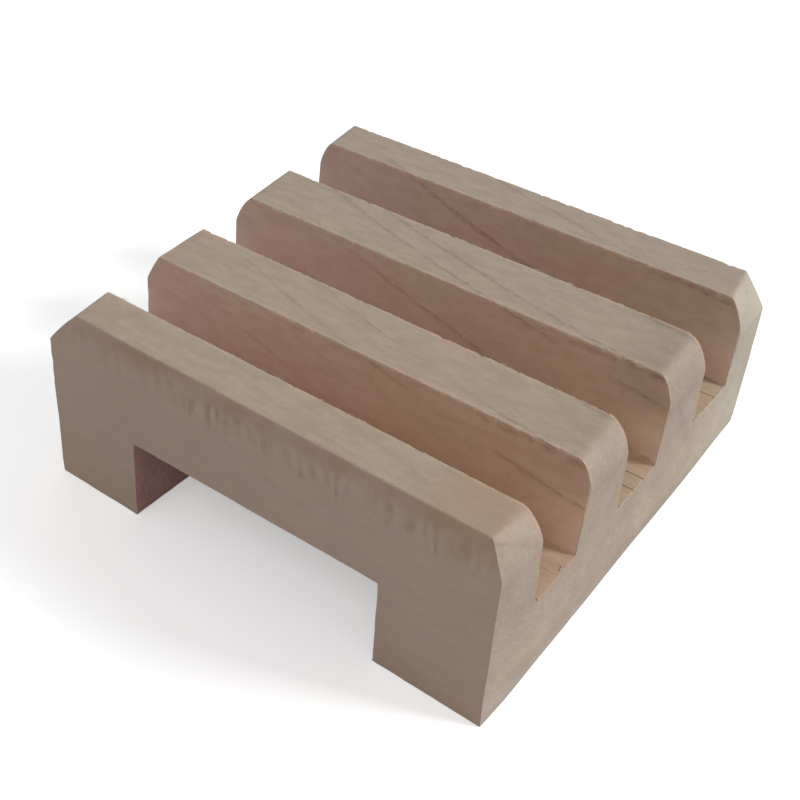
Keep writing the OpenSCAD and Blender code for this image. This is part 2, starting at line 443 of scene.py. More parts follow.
def zip_rows(x, y_fine, z_fine, y_rough, z_rough, turned):
    """Triangles between a row of many points and a row of few: both rows' places are sorted together,
    and each step along either row adds the triangle that it sweeps over."""
    steps = np.concatenate([y_fine[1:], y_rough[1:]])
    rough = np.argsort(steps, kind="stable") >= len(y_fine) - 1
    i = np.cumsum(~rough) - ~rough
    j = np.cumsum(rough) - rough + len(y_fine)
    cells = np.stack([i, np.where(rough, j, i) + 1, j], -1)
    cells = cells if turned else cells[:, ::-1]
    position = np.concatenate([place(x, y_fine, z_fine, -1), place(x, y_rough, z_rough, -1)])
    cells = np.concatenate([cells, np.full((len(cells), 1), -1)], 1)
    patches.append((position, cells, np.full(len(cells), END), np.zeros(len(position))))


# %% The comb, the ceiling and the feet
y, z = section_at(stations)
rib_of = np.full(len(points), -1)
for i in range(4):
    for name in ("rise", "front arc", "top", "back arc", "fall"):
        rib_of[parts[f"{name} {i}"]] = i
rib_of[parts["front low"]] = 0
rib_of[parts["back low"]] = 3
zone = np.where((pzone[:-1] == TOP) | (pzone[1:] == BOTTOM), pzone[1:], pzone[:-1])
grid(place(stations[:, None], y, z, rib_of[None]), zone[None], wear=pedge > 0)

grid(place(stations[first:last + 1, None], columns[None], CHANNEL, -1), CUT, turned=True)
for along, wall_x in ((stations[:first + 1, None], FOOT_LEFT), (stations[last:, None], FOOT_RIGHT)):
    grid(place(along, columns[None], 0, -1), BACK, turned=True)
    grid(place(along, 0, foot_rows[None], -1), FRONT)
    grid(place(along, WIDTH, foot_rows[None], -1), BACK, turned=True)
    grid(place(wall_x, columns[:, None], foot_rows[None], -1), CUT, turned=wall_x == FOOT_RIGHT)
print(len(patches), "patches so far")

# %% The end faces
for x, row in ((0, 0), (LENGTH, -1)):
    left_end = x == 0
    outline = np.stack([y[row], z[row]], -1)
    upper, rib_row = [], []  # points at the height of the groove floors, and their ribs
    for i in range(4):
        rise, back = outline[parts[f"rise {i}"]], outline[parts[f"fall {i}"]][::-1]
        top = outline[np.concatenate([parts[f"{n} {i}"] for n in ("front arc", "top", "back arc")])]
        rise, back = np.vstack([rise, top[:1]]), np.vstack([back, top[-1:]])
        share = (top[:, :1] - top[0, 0]) / (top[-1, 0] - top[0, 0])
        foot = rise[0] * (1 - share) + back[0] * share
        face = blend(foot, top, rise, back)
        grid(place(x, face[..., 0], face[..., 1], i), END, turned=not left_end)
        floor_row = outline[parts[f"floor {i}"]] if i < 3 else foot[:0]
        upper += [foot, floor_row]
        rib_row += [i] * len(foot) + [-1] * len(floor_row)
    upper = np.concatenate(upper)
    base = np.stack([upper[:, 0] * WIDTH / upper[-1, 0], np.full(len(upper), CHANNEL)], -1)
    front, back = (np.array([(side, h) for h in (CHANNEL, WEB_ROW, FLOOR)]) for side in (0, WIDTH))
    strip = blend(base, upper, front, back)
    grid(place(x, strip[..., 0], strip[..., 1], rib_row), END, turned=not left_end)
    zip_rows(x, base[:, 0], CHANNEL, columns, foot_rows[-2], left_end)
    grid(place(x, columns[:, None], foot_rows[None, :-1], -1), END, turned=left_end)
print(len(patches), "patches in all")

# %% [markdown]
# ## Stitching
# Points that fall on the same place are the same point. Rounding the positions to a hundred thousandth
# of a millimetre and keeping one of each joins all the patches into one closed skin.

# %% One closed mesh
starts = np.cumsum([0] + [len(patch[0]) for patch in patches])
cells = np.concatenate([np.where(p[1] < 0, -1, p[1] + start) for p, start in zip(patches, starts)])
position, zones, wear = (np.concatenate([patch[n] for patch in patches]) for n in (0, 2, 3))
rounded = (position * 1e5).round().astype(np.int64)
_, kept, where = np.unique(rounded, axis=0, return_index=True, return_inverse=True)
where = where.ravel()
cells = np.where(cells < 0, -1, where[cells])
verts = (position[kept] - [LENGTH / 2, WIDTH / 2, 0]) * MM
worn = np.zeros(len(kept))
np.maximum.at(worn, where, wear)
four = cells[:, 3] >= 0
faces = cells[four].tolist() + cells[~four][:, :3].tolist()
face_zone = np.concatenate([zones[four], zones[~four]])
mesh = bpy.data.meshes.new("soap_dish_block")
mesh.from_pydata(verts.tolist(), [], faces)
mesh.update()
print("points", len(verts), "faces", len(faces), "triangles", 2 * four.sum() + (~four).sum())
print("faces with a doubled corner:", (cells[four] == np.roll(cells[four], 1, axis=1)).any(1).sum())

# %% [markdown]
# ## What each point knows
# The finish needs to know where the wood is end grain, because cut fibre ends drink light and show
# no streaks. A surface is end grain as far as it faces along the ribs, so each point keeps how much
# its own direction points along x. It also keeps whether it lies on a worn long edge.

END_FROM, END_TO = 0.25, 0.75  # how much a surface faces along x where end grain begins and is full
mesh.polygons.foreach_set("material_index", face_zone.astype(np.int32))
mesh.polygons.foreach_set("use_smooth", np.ones(len(faces), bool))
mesh.set_sharp_from_angle(angle=math.radians(38))
towards = np.zeros(len(verts) * 3)
mesh.vertex_normals.foreach_get("vector", towards)
along_x = np.abs(towards.reshape(-1, 3)[:, 0])
end_grain = np.clip((along_x - END_FROM) / (END_TO - END_FROM), 0, 1)
for name, values in (("end_grain", end_grain), ("worn", worn)):
    mesh.attributes.new(name, "FLOAT", "POINT").data.foreach_set("value", values.astype(np.float32))
block = stand("soap_dish_block", mesh)
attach(block, "root")
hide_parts("grooved_block")
print("end grain on", round(float((end_grain > 0.5).mean()), 3), "of the points")

# %% [markdown]
# ## Node groups
# The finishes below share a few effects: growth rings, fibres, saw marks. Each effect is a node
# group, built once, with named sockets. A small class keeps the wiring readable: each of its methods
# makes nodes in one tree, and every input takes a socket, a number or a colour.

# %% Wiring
class Wires:
    """Makes the nodes of one tree and joins them."""

    def __init__(self, tree):
        tree.nodes.clear()
        self.tree = tree

    def set(self, socket, value):
        """Joins an input to a socket, or sets its value. A colour gets 1 as its fourth."""
        if isinstance(value, bpy.types.NodeSocket):
            self.tree.links.new(value, socket)
        else:
            socket.default_value = (*value, 1) if socket.type == "RGBA" else value

    def node(self, kind, inputs=None, **settings):
        """Makes a node with its settings, then its inputs."""
        node = self.tree.nodes.new("ShaderNode" + kind)
        for key, value in settings.items():
            setattr(node, key, value)
        for key, value in (inputs or {}).items():
            self.set(node.inputs[key], value)
        return node

    def math(self, operation, *values, clamp=False):
        """One sum."""
        values = dict(enumerate(values))
        return self.node("Math", values, operation=operation, use_clamp=clamp).outputs[0]

    def plus(self, first, *others):
        """Sum of two or more."""
        for other in others:
            first = self.math("ADD", first, other)
        return first

    def minus(self, a, b, clamp=False):
        """Difference of two."""
        return self.math("SUBTRACT", a, b, clamp=clamp)

    def times(self, first, *factors):
        """Product of two or more."""
        for factor in factors:
            first = self.math("MULTIPLY", first, factor)
        return first

    def dot(self, spot, direction):
        """How far a spot lies along a direction."""
        return self.node("VectorMath", {0: spot, 1: direction}, operation="DOT_PRODUCT").outputs[1]

    def axes(self, spot):
        """The X, Y and Z of a spot."""
        return self.node("SeparateXYZ", {0: spot}).outputs

    def ramp(self, value, low, high, out_low=0, out_high=1):
        """Spreads low to high of a value smoothly over out_low to out_high, and stops at both."""
        return self.node("MapRange", {0: value, 1: low, 2: high, 3: out_low, 4: out_high},
                         interpolation_type="SMOOTHSTEP").outputs[0]

    def noise(self, spot, scale, detail=3, rough=0.55):
        """Noise at a scale of its own along each axis, in cells per millimetre."""
        scaled = self.node("VectorMath", {0: spot, 1: scale}, operation="MULTIPLY").outputs[0]
        return self.node("TexNoise", {"Vector": scaled, "Scale": 1, "Detail": detail,
                                      "Roughness": rough}).outputs[0]

    def mix(self, factor, a, b, blend_type="MIX"):
        """Mixes two colours."""
        return self.node("Mix", {0: factor, 6: a, 7: b}, data_type="RGBA", blend_type=blend_type).outputs[2]

    def use(self, group, spot, **values):
        """Places a node group, with its own values, and gives back its outputs."""
        return self.node("Group", {"Place": spot, **values}, node_tree=group).outputs


# %% Making a group
def new_group(name, outputs, **inputs):
    """An empty node group, its wiring, and the sockets of its two ends. An input is a vector where its
    value is None and otherwise a number, and all outputs are numbers. Each group gets a place."""
    group = bpy.data.node_groups.new(name, "ShaderNodeTree")
    for key, value in {"Place": None, **inputs}.items():
        kind = "NodeSocketVector" if value is None else "NodeSocketFloat"
        socket = group.interface.new_socket(key, in_out="INPUT", socket_type=kind)
        if value is not None:
            socket.default_value = value
    for key in outputs:
        group.interface.new_socket(key, in_out="OUTPUT", socket_type="NodeSocketFloat")
    w = Wires(group)
    return group, w, group.nodes.new("NodeGroupInput").outputs, group.nodes.new("NodeGroupOutput").inputs


# %% [markdown]
# ## Growth rings
# The block was sawn from a trunk, so its rings are gently curved sheets through the wood. They slope
# down towards the back and towards the right, and flatten out towards the right end. Where a sheet
# meets a face it draws a line: long and slow on the tops, steeper on the groove walls. The height of
# a sheet above a flat one is a formula in x and y, so each ring is one number, and a table holds
# those numbers. Late in the year the wood grows dense and dark and then starts afresh, so a line
# darkens slowly on one side and ends sharply on the other. It breaks up into dashes, as pores do,
# and near the left end it nearly fades out.

# %% Growth rings
RING_SLOPE = (0.299, 1.118, 1)  # how fast the ring's number grows along x, y and z
RING_CURVE = -0.00169  # and with the square of x
RING_WOBBLE = 1.3  # how far fine noise shifts the number
RINGS = [(89.5, 0.75), (71.7, 1), (56.4, 1), (50.8, 0.9), (38.6, 0.8), (24.5, 0.7),  # number, strength
         (16.3, 0.75), (1.1, 0.35), (-16, 0.35), (-22.5, 0.4), (-29.5, 0.5), (-48, 0.5)]
rings, w, enter, leave = new_group("growth_rings", ["Line"])
here = enter["Place"]
along = w.axes(here)["X"]
slow = w.minus(w.noise(here, (0.03, 0.05, 0.05), 2), 0.5)
fine = w.minus(w.noise(here, (0.22, 0.5, 0.5), 2), 0.5)
number = w.plus(w.dot(here, RING_SLOPE), w.times(along, along, RING_CURVE), slow, w.times(fine, RING_WOBBLE))
lines = 0
for ring_number, strength in RINGS:
    beyond = w.minus(number, ring_number)
    one = w.times(w.ramp(beyond, -1.3, 0), w.ramp(beyond, 0.4, 0.05), strength)
    lines = w.math("MAXIMUM", one, lines)
shown = w.ramp(w.noise(here, (0.05, 0.12, 0.12), 2), 0.38, 0.56, 0.25, 1)
dashed = w.ramp(w.noise(here, (0.55, 1.2, 1.2), 2), 0.36, 0.62, 0.35, 1)
w.set(leave["Line"], w.times(lines, shown, dashed, w.ramp(along, -44, -24, 0.2, 1)))
print("growth rings:", len(RINGS))

# %% [markdown]
# ## Fibres, flecks and mottling
# Along the grain the colour runs in fine streaks. Short dark dashes are pores that the cut opened
# lengthwise. Under both lies a soft mottling, where the wood is a little pinker or a little greener.
# All are noise, pulled out along x.

# %% Fibres, flecks and mottling
fibres, w, enter, leave = new_group("fibres", ["Streak", "Fleck", "Cloud", "Mottle"])
here = enter["Place"]
w.set(leave["Streak"], w.noise(here, (0.06, 1.3, 1.3), 4, 0.6))
w.set(leave["Cloud"], w.noise(here, (0.035, 0.06, 0.06), 3, 0.5))
w.set(leave["Mottle"], w.noise(here, (0.20, 0.5, 0.5), 3, 0.55))
dash = w.ramp(w.noise(here, (0.8, 4.2, 4.2), 2, 0.5), 0.62, 0.70)
some = w.ramp(w.noise(here, (0.10, 0.25, 0.25), 2), 0.42, 0.62)
w.set(leave["Fleck"], w.times(dash, some))

# %% [markdown]
# ## Ripples on the front face
# A blunt planer knife left a row of short upright ripples, 4 to 8 mm below the top edge of the front
# face. Their light and shade are painted: painted shade in each hollow and a painted highlight on each
# flank. Between them and the edge the wood is burnished a little browner. A wave along x makes the
# row. It wobbles and runs into blots, and each ripple starts and ends at a depth of its own. Where the
# knife pressed hard they are strong, so a table gives their strength along x.

# %% Ripples
RIPPLE = 3.1  # distance from one ripple to the next
WOBBLE, SLANT = 3.4, 0.03  # how far noise and depth shift a ripple, in ripples
WAVE, BLOTS = 0.5, 2.8  # strength of the even row and of the blots
PRESSURE = [(0, 0), (0.13, 0.25), (0.34, 0.35), (0.40, 1), (0.52, 0.8), (0.56, 0.35),  # place, strength
            (0.62, 1), (0.69, 0.9), (0.74, 0.25), (0.81, 0.9), (0.94, 1), (0.98, 0)]
ripples, w, enter, leave = new_group("planer_ripples", ["Dark", "Light", "Band", "Height"])
here = enter["Place"]
axes = w.axes(here)
below = w.minus(HEIGHT, axes["Z"])
pressure = w.node("ValToRGB", {0: w.math("DIVIDE", w.plus(axes["X"], LENGTH / 2), LENGTH)})
pressure.color_ramp.interpolation = "EASE"
stops = pressure.color_ramp.elements
for i, (share, press) in enumerate(PRESSURE):
    stop = stops[i] if i < 2 else stops.new(share)
    stop.position, stop.color = share, (press, press, press, 1)
wobble = w.times(w.noise(here, (0.15, 0, 0.05), 1.5, 0.4), WOBBLE)
turn = w.plus(w.math("DIVIDE", axes["X"], RIPPLE), wobble, w.times(below, SLANT))
blots = w.minus(w.noise(here, (0.34, 0, 0.12), 1, 0.4), 0.5)
wave = w.plus(w.times(w.math("SINE", w.times(turn, 2 * math.pi)), WAVE), w.times(blots, BLOTS))

# %% Where the ripples and the burnished band lie
starts_at = w.ramp(w.noise(here, (0.12, 0.7, 0), 2), 0.35, 0.65, 2.2, 4.8)
ends_at = w.ramp(w.noise(here, (0.30, 0, 0), 2), 0.3, 0.7, 6.4, 10)
window = w.times(w.ramp(w.minus(below, starts_at), -1.2, 1), w.ramp(w.minus(ends_at, below), -0.5, 1.8),
                 pressure.outputs["Color"])
patchy = w.ramp(w.noise(here, (0.5, 0, 0.3), 2), 0.35, 0.6, 0.35, 1)
burnished = w.ramp(w.noise(here, (0.07, 0, 0.1), 3), 0.36, 0.6, 0.25, 1)
fades = w.ramp(w.minus(below, w.times(ends_at, 0.6)), 1.2, -3.4)
# painted shade in the hollows, and a painted highlight on the flanks
w.set(leave["Dark"], w.times(w.ramp(wave, -0.45, 0.75), window, patchy))
w.set(leave["Light"], w.times(w.ramp(wave, 0.1, -0.9), window))
w.set(leave["Band"], w.times(burnished, fades, w.ramp(axes["X"], -44, -26, 0.3, 1)))
w.set(leave["Height"], w.times(wave, window, -1))
print("places where the knife's pressure changes:", len(PRESSURE))

# %% [markdown]
# ## Saw marks
# The sawn faces keep the marks of the teeth: faint parallel scratches, at a steep angle on the
# groove walls and straight across on the floors.

# %% Saw marks
saw, w, enter, leave = new_group("saw_marks", ["Height"], Lean=0.5)
axes = w.axes(enter["Place"])
spot = w.node("CombineXYZ", {"X": w.plus(axes["X"], w.times(axes["Z"], enter["Lean"])),
                             "Y": w.times(axes["Y"], 0.05), "Z": w.times(axes["Z"], 0.03)}).outputs[0]
w.set(leave["Height"], w.noise(spot, (1.9, 1, 1), 3, 0.6))

# %% [markdown]
# ## Spots
# Handling leaves marks at one place only, such as a darker thumb patch or a few scratches. A spot is
# a soft ball in space: 1 at its centre and 0 beyond its reach, so any material that the ball meets
# can use it.

# %% Spots
spots, w, enter, leave = new_group("spot", ["Mask"], Centre=None, Reach=5)
gone = w.node("VectorMath", {0: enter["Place"], 1: enter["Centre"]}, operation="DISTANCE").outputs["Value"]
w.set(leave["Mask"], w.ramp(w.math("DIVIDE", gone, enter["Reach"]), 1, 0.3))

# %% [markdown]
# ## Cut fibre ends
# End grain shows the pores as fine specks, in patches that are a little pinker or yellower. Where tufts
# of torn fibre catch the light, pale sparks are painted as highlights, and the sanding left shallow
# dents. In one place the sander's grit left a few short bright scratches.

# %% Cut fibre ends
SCRATCHED, SCRATCHES_REACH = (51, 3.4, 12), 6  # middle of the scratched place, and how far it goes
SCRATCHES_TURN = math.radians(70)
cut_ends, w, enter, leave = new_group("cut_ends", ["Speck", "Patch", "Spark", "Scratch", "Dent"])
here = enter["Place"]
w.set(leave["Speck"], w.noise(here, (0.9, 1.5, 1.5), 4, 0.7))
w.set(leave["Patch"], w.noise(here, (0.10, 0.15, 0.15), 3, 0.55))
# painted highlight: pale sparks where tufts of torn fibre catch the light
w.set(leave["Spark"], w.ramp(w.noise(here, (1.3, 1.3, 1.3), 2, 0.6), 0.60, 0.72))
w.set(leave["Dent"], w.noise(here, (0.55, 0.6, 0.6), 1.5, 0.5))
turned = w.node("VectorRotate", {"Vector": here, "Axis": (1, 0, 0), "Angle": SCRATCHES_TURN}).outputs[0]
grit = w.ramp(w.noise(turned, (0.1, 0.55, 3.2), 1), 0.56, 0.66)
w.set(leave["Scratch"], w.times(grit, w.use(spots, here, Centre=SCRATCHED, Reach=SCRATCHES_REACH)["Mask"]))
print("node groups:", [group.name for group in bpy.data.node_groups])

# %% [markdown]
# ## The finishes
# All the wood is one kind, but not one colour. Sanded tops are pale and a little grey from
# handling, sawn walls keep the redder colour of fresh wood, and end grain is palest because its torn
# fibres scatter light. The back of the block has greyed more than the front. On the groove walls that
# face the front, light is painted: they are paler lower down, where the groove shades them, and
# darker and yellower towards the right, for warm light bounced from there. None of it is oiled, so
# all are matt, with a low and broad highlight. Colours are written as they look on a screen. A tint
# is a factor for red, green and blue, and a table says between which two places on which axis it
# goes from one to the other.

# %% Colours and tints
def linear(code):
    """Colour from a hex code, with the screen's curve undone: ((c + 0.055) / 1.055) ** 2.4."""
    c = [int(code[i:i + 2], 16) / 255 for i in (0, 2, 4)]
    return tuple(v / 12.92 if v < 0.04045 else ((v + 0.055) / 1.055) ** 2.4 for v in c)


# Mark colours. The ripples' flank and hollow colours are a painted highlight and painted shade, the spark
# colour is a painted highlight, the torn colour is a painted shadow under torn edges, and the worn colour is
# paler wood with a painted highlight.
PORE, TORN_FIBRE_SHADE, BURNISHED, FLANK_HIGHLIGHT, HOLLOW_SHADE = "67523f", "785c42", "9b806b", "b8a598", "88705d"
END_RING, SPARK_HIGHLIGHT, SCRATCH, BRUISED, THUMBED, WORN_AND_SHEEN = "8a7466", "cbbcab", "d8cbbd", "938488", "a1866a", "c2a58f"
PLAIN = (1, 1, 1)
GREENER, PINKER = (0.985, 1.002, 0.982), (1.012, 0.994, 1)  # clouds in the long grain
YELLOWER, ROSIER = (1.008, 1.003, 0.985), (1.002, 0.994, 0.997)  # patches in the end grain
WARMER, GREYER = (1.01, 0.995, 0.985), (0.965, 0.995, 1.025)  # the front, and the aged back
ROUND_END = (0.87, 0.88, 0.87)  # the middle ribs' round right ends
# painted light on the groove walls that face the front: paler and bluer lower down, where the groove shades
# them, darker and yellower towards the right, for warm light bounced from there, and a little darker towards
# the back
GROOVE_TINTS = [  # axis, from, to, tint at the one and at the other
    ("Z", 37, 27, (0.96, 0.96, 0.96), (1.31, 1.34, 1.41)),
    ("X", -44, 22, (1.07, 1.07, 1.06), (0.955, 0.93, 0.79)),
    ("Y", -25, 40, (1.01, 1.01, 1.01), (0.905, 0.915, 0.965))]
FRONT_TINTS = [("Z", 13, 1, PLAIN, (0.97, 0.95, 0.90)), ("X", -26, -50, PLAIN, (1.05, 1.06, 1.06))]
# painted light: end grain a little darker at the top and paler lower down, for light bounced up from the
# floor
END_TINTS = [("Z", 27, 11, (0.97, 0.97, 0.98), (1.08, 1.08, 1.08))]
# painted light: the sanded-in foot of the right end, facing a little down, is painted paler and bluer; the
# right end is also paler and bluer towards the back
RIGHT_END_TINTS = [("Z", 7.5, 3, PLAIN, (1.08, 1.13, 1.2)), ("Y", 14, 42, PLAIN, (1.12, 1.23, 1.25))]
THUMB, THUMB_REACH = (43, -43, 41), 13  # the thumb patch on the front rib's right end
# the bruise on the third rib's right end: the direction across it and its place, the direction along
# it, the place of its middle and half its length
BRUISE = ((0, 0.8, 0.6), 27.2, (0, 0.6, -0.8), -12, 13)


def tinted(w, colour, mask, low, high):
    """Multiplies a colour by a tint that goes from low to high with the mask."""
    return w.mix(1, colour, w.mix(mask, low, high), "MULTIPLY")


def tinted_along(w, colour, axes, tints, where=1):
    """Multiplies a colour by each tint of a table, where the mask says so."""
    for axis, start, stop, low, high in tints:
        colour = tinted(w, colour, w.times(where, w.ramp(axes[axis], start, stop)), low, high)
    return colour


def marked(w, colour, *marks):
    """Mixes each mark's own colour into a colour, by its mask times its strength."""
    for code, mask, strength in marks:
        colour = w.mix(w.times(mask, strength), colour, linear(code))
    return colour


# %% The long grain's colour
def long_grain_colour(w, spot, effects, pale, dark, line, line_colour, flecks, streaky, in_groove):
    """Streaks, mottling and specks choose between pale and dark. Tints, rings and pores follow, with
    painted light and shade in the grooves and on the front face's ripples.
    """
    ring, fibre, cut, ripple, axes = effects
    tone = w.plus(w.times(fibre["Streak"], streaky), w.times(fibre["Mottle"], 0.8 - streaky),
                  w.times(cut["Speck"], 0.2))
    colour = w.mix(w.ramp(tone, 0.38, 0.62), linear(dark), linear(pale))
    colour = tinted(w, colour, w.ramp(fibre["Cloud"], 0.38, 0.62), GREENER, PINKER)
    if in_groove:
        # painted light: the front-facing groove walls' tints stand in for shade and bounced light
        colour = tinted_along(w, colour, axes, GROOVE_TINTS)
        # painted shadow: torn fibres overhang the edge near the right end, and their ragged shade under it
        # is painted
        torn = w.ramp(w.noise(spot, (0.3, 0, 0.25), 2, 0.5), 0.35, 0.65, 0.3, 1.8)
        under = w.minus(torn, w.minus(HEIGHT, axes["Z"]))
        to_right = w.ramp(axes["X"], 22, 42, 0.1, 0.38)
        colour = marked(w, colour, (TORN_FIBRE_SHADE, w.ramp(under, -0.7, 0.5), to_right))
    colour = marked(w, colour, (line_colour, ring["Line"], line), (PORE, fibre["Fleck"], flecks))
    if ripple is not None:
        colour = tinted_along(w, colour, axes, FRONT_TINTS)
        # the ripples' hollows get painted shade and their flanks a painted highlight
        colour = marked(w, colour, (BURNISHED, ripple["Band"], 0.7), (FLANK_HIGHLIGHT, ripple["Light"], 0.28),
                        (HOLLOW_SHADE, ripple["Dark"], 0.58))
    if in_groove:
        return colour
    aged = w.ramp(w.plus(axes["Y"], w.times(fibre["Cloud"], 40)), 0, 70)
    return tinted(w, colour, aged, WARMER, GREYER)


# %% The end grain's colour
def end_grain_colour(w, spot, effects, pale, dark, bruised):
    """Specks and patches choose between pale and dark. Painted highlights as sparks, scratches, the bruise
    and tints, partly painted light, follow.
    """
    ring, fibre, cut, ripple, axes = effects
    tone = w.plus(w.times(cut["Speck"], 0.4), w.times(cut["Patch"], 0.6))
    colour = w.mix(w.ramp(tone, 0.36, 0.64), linear(dark), linear(pale))
    colour = tinted(w, colour, w.ramp(cut["Patch"], 0.36, 0.64), ROSIER, YELLOWER)
    # the sparks are painted highlights
    colour = marked(w, colour, (END_RING, ring["Line"], 0.1), (SPARK_HIGHLIGHT, cut["Spark"], 0.4),
                    (SCRATCH, cut["Scratch"], 0.42))
    if bruised:
        across, line_at, along, middle, half = BRUISE
        wavy = w.times(w.minus(cut["Patch"], 0.5), 1.5)
        off = w.math("ABSOLUTE", w.plus(w.minus(w.dot(spot, across), line_at), wavy))
        away = w.math("ABSOLUTE", w.minus(w.dot(spot, along), middle))
        bruise = w.times(w.ramp(off, 1.9, 0.1), w.ramp(away, half, half * 0.5))
        colour = marked(w, colour, (BRUISED, bruise, 0.34))
    colour = tinted_along(w, colour, axes, END_TINTS)
    return tinted_along(w, colour, axes, RIGHT_END_TINTS, w.ramp(axes["X"], 10, 40))


# %% One material for each finish
def wood(name, pale, dark, line=0.5, line_colour="6e5545", flecks=0.2, streaky=0.25, saw_lean=None,
         in_groove=False, rippled=False, bruised=False, end_pale="b0a091", end_dark="a79789"):
    """A bare wood finish: its pale and dark colours, and how strong its rings, flecks and streaks are."""
    material = bpy.data.materials.new(name)
    material.use_nodes = True
    w = Wires(material.node_tree)
    shader = w.node("BsdfPrincipled", {"Specular IOR Level": 0.25})
    w.node("OutputMaterial", {0: shader.outputs[0]})
    metres = w.node("TexCoord").outputs["Object"]
    spot = w.node("VectorMath", {0: metres, 1: (1 / MM,) * 3}, operation="MULTIPLY").outputs[0]
    ring, fibre, cut = (w.use(group, spot) for group in (rings, fibres, cut_ends))
    ripple = w.use(ripples, spot) if rippled else None
    axes = w.axes(spot)
    effects = ring, fibre, cut, ripple, axes
    ends = w.node("Attribute", attribute_name="end_grain").outputs["Fac"]
    long_grain = w.minus(1, ends, clamp=True)

    colour = long_grain_colour(w, spot, effects, pale, dark, line, line_colour, flecks, streaky, in_groove)
    colour = w.mix(ends, colour, end_grain_colour(w, spot, effects, end_pale, end_dark, bruised))
    rounded = w.times(w.ramp(axes["X"], 34, 47), w.ramp(axes["Z"], 28, 36),
                      w.ramp(axes["Y"], -40, 8), w.ramp(axes["Y"], 36, 24))
    colour = tinted(w, colour, rounded, PLAIN, ROUND_END)
    # worn long edges show fresher, paler wood where fibres stand up, and a painted highlight on them
    worn_now = w.node("Attribute", attribute_name="worn").outputs["Fac"]
    fuzz = w.ramp(w.noise(spot, (0.5, 2, 2), 3), 0.3, 0.7)
    thumb = w.use(spots, spot, Centre=THUMB, Reach=THUMB_REACH)["Mask"]
    colour = marked(w, colour, (THUMBED, thumb, w.ramp(long_grain, 0, 1, 0.2, 0.48)),
                    (WORN_AND_SHEEN, w.times(worn_now, fuzz), 0.6))
    w.set(shader.inputs["Base Color"], colour)
    w.set(shader.inputs["Roughness"], w.ramp(fibre["Streak"], 0.3, 0.7, 0.62, 0.78))

    # relief in millimetres: fibres along the grain, pores and dents on the ends, teeth marks, ripples
    relief = [w.times(w.noise(spot, (0.35, 4.5, 4.5), 3), long_grain, 0.018),
              w.times(cut["Speck"], ends, 0.03), w.times(cut["Dent"], w.ramp(ends, 0, 1, 0.05, 0.2))]
    if saw_lean is not None:
        relief.append(w.times(w.use(saw, spot, Lean=saw_lean)["Height"], 0.03))
    if rippled:
        relief.append(w.times(ripple["Height"], 0.008))
    bump = w.node("Bump", {"Strength": 1, "Distance": MM, "Height": w.plus(*relief)})
    w.set(shader.inputs["Normal"], bump.outputs[0])
    return material


# %% The finishes of the block
REDDER = "785441"  # rings where the wood is freshest
finishes = {
    TOP: wood("sanded_wood", "a79686", "9c8c7c", line=0.42, flecks=0.3),
    WALL: wood("sawn_wood", "bba091", "b49788", line=0.48, line_colour=REDDER, saw_lean=0.5, in_groove=True),
    BOTTOM: wood("sawn_floor", "baa28b", "af9680", line=0.35, flecks=0.3, saw_lean=0),
    FRONT: wood("planed_wood", "ab9689", "a69286", line=0.14, flecks=0.12, streaky=0.35, rippled=True),
    END: wood("end_grain_wood", "a99888", "a09080", flecks=0.5, bruised=True),
    CUT: wood("sawn_channel", "b38f89", "ab8680", line=0.3, saw_lean=0.3, end_pale="b38f89",
              end_dark="ab8680"),
    BACK: wood("planed_back", "ac9786", "a49081", line=0.3, streaky=0.4),
    REAR_WALL: wood("rear_wall_wood", "b79d8b", "af9582", line=0.4, line_colour=REDDER, saw_lean=0.5),
}
for zone_of in sorted(finishes):
    mesh.materials.append(finishes[zone_of])
print("finishes:", [m.name for m in mesh.materials])

# %% [markdown]
# ## Standing fibres
# Along the saw-cut edges single fibres stand up, finer than a hair and paler than the wood, with
# painted light for the light that shines through them, and a few thicker splinters curl at the sawn
# end of the front groove. Each is a closed spindle: five rings of five points round a bent line, and
# a point at each end. All of them are one array, so a hundred cost no more code than one.

# %% The roots of the fibres
FIBRES = 110
luck = np.random.default_rng(21)
on_edge = luck.choice(np.arange(1, 7), FIBRES)
at_x = 12 + 84 * luck.uniform(0, 1, FIBRES) ** 0.8  # more of them towards the right
side = np.where(on_edge % 2 == 0, -1, 1)  # front edges lean forwards, back edges lean back
shrink = edge_radius(at_x, on_edge) * (1 - math.sqrt(0.5))
root = place(at_x, RIB_EDGES[on_edge] - side * shrink, HEIGHT - shrink, on_edge // 2)
swing = luck.uniform(0.1, 0.75, FIBRES)
way = luck.choice([-1, 1], FIBRES)
heading = np.stack([way * np.cos(swing), side * np.sin(swing), luck.uniform(-0.15, 0.1, FIBRES)], -1)
reach_out, thick = luck.uniform(0.5, 1.7, FIBRES), luck.uniform(0.035, 0.075, FIBRES)

SPLINTERS = np.array([  # root, heading, length, thickness
    (101.65, 17.9, 21.8, 0.02, 0.7, 0.6, 1.5, 0.12), (101.6, 18.8, 21.85, -0.3, 0.6, 0.75, 1.3, 0.1),
    (101.65, 19.7, 21.8, 0.02, -0.5, 0.8, 1, 0.1), (101.6, 12.6, 21.85, -0.3, 0.9, 0.4, 0.9, 0.08)])
root = np.vstack([root, SPLINTERS[:, :3]])
heading = np.vstack([heading, SPLINTERS[:, 3:6]])
heading /= np.linalg.norm(heading, axis=1)[:, None]
reach_out, thick = np.append(reach_out, SPLINTERS[:, 6]), np.append(thick, SPLINTERS[:, 7])
print(len(root), "fibres,", round(reach_out.min(), 2), "to", round(reach_out.max(), 2), "mm long")

# %% Spindles round bent lines
SIDES = 5  # points in a ring, and rings in a spindle
HOOPS = np.array([0, 0.2, 0.45, 0.7, 0.9])  # where the rings lie along the line


